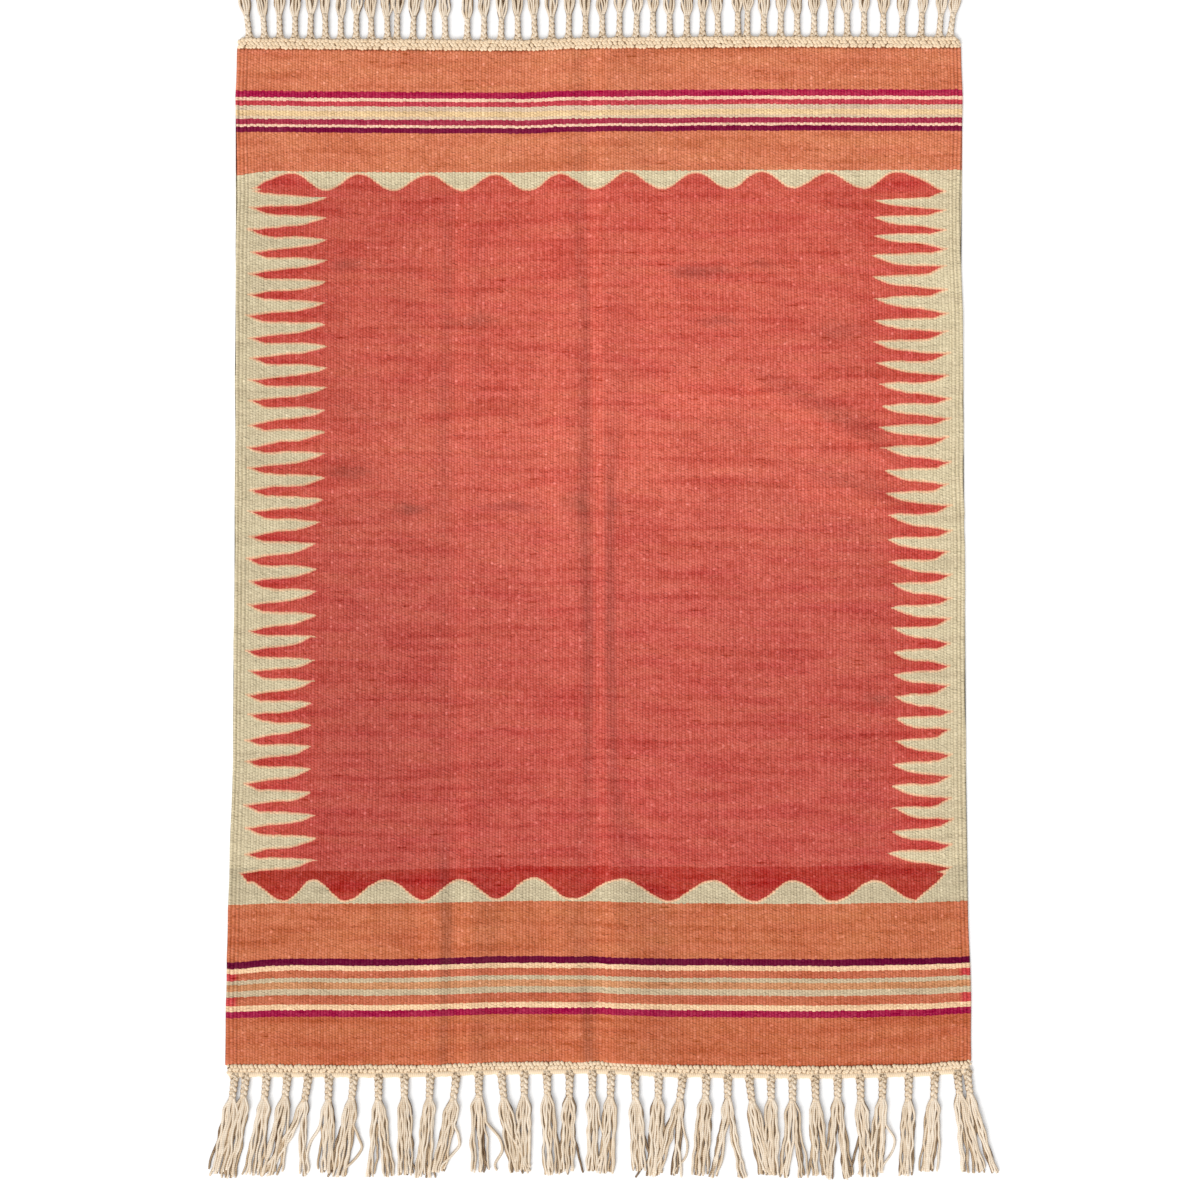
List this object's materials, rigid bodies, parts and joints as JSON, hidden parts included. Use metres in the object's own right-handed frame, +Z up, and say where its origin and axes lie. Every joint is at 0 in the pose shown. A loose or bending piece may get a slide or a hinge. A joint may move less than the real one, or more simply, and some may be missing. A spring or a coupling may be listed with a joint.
{
  "type": "kilim rug",
  "caption": "Flat-woven rug lying flat: a thin woven web with corded sides, and at each end a plaited edge with a fringe of braided tassels.",
  "frame": {"origin": "middle of the rug's outline, on the floor under it", "axes": "+X across the width, +Y along the warps towards the far end, +Z up from the floor"},
  "size_m": [0.9606, 1.5284, 0.0065],
  "materials": {
    "dyed_wool_web": "matte weft-faced wool weave, red field with sage border, orange ends and stripes",
    "undyed_wool_yarn": "matte undyed plied wool yarn, cream"
  },
  "bodies": {
    "root": {"kilim_web": "dyed_wool_web", "fringe_near": "undyed_wool_yarn", "fringe_far": "undyed_wool_yarn"}
  },
  "joints": []
}
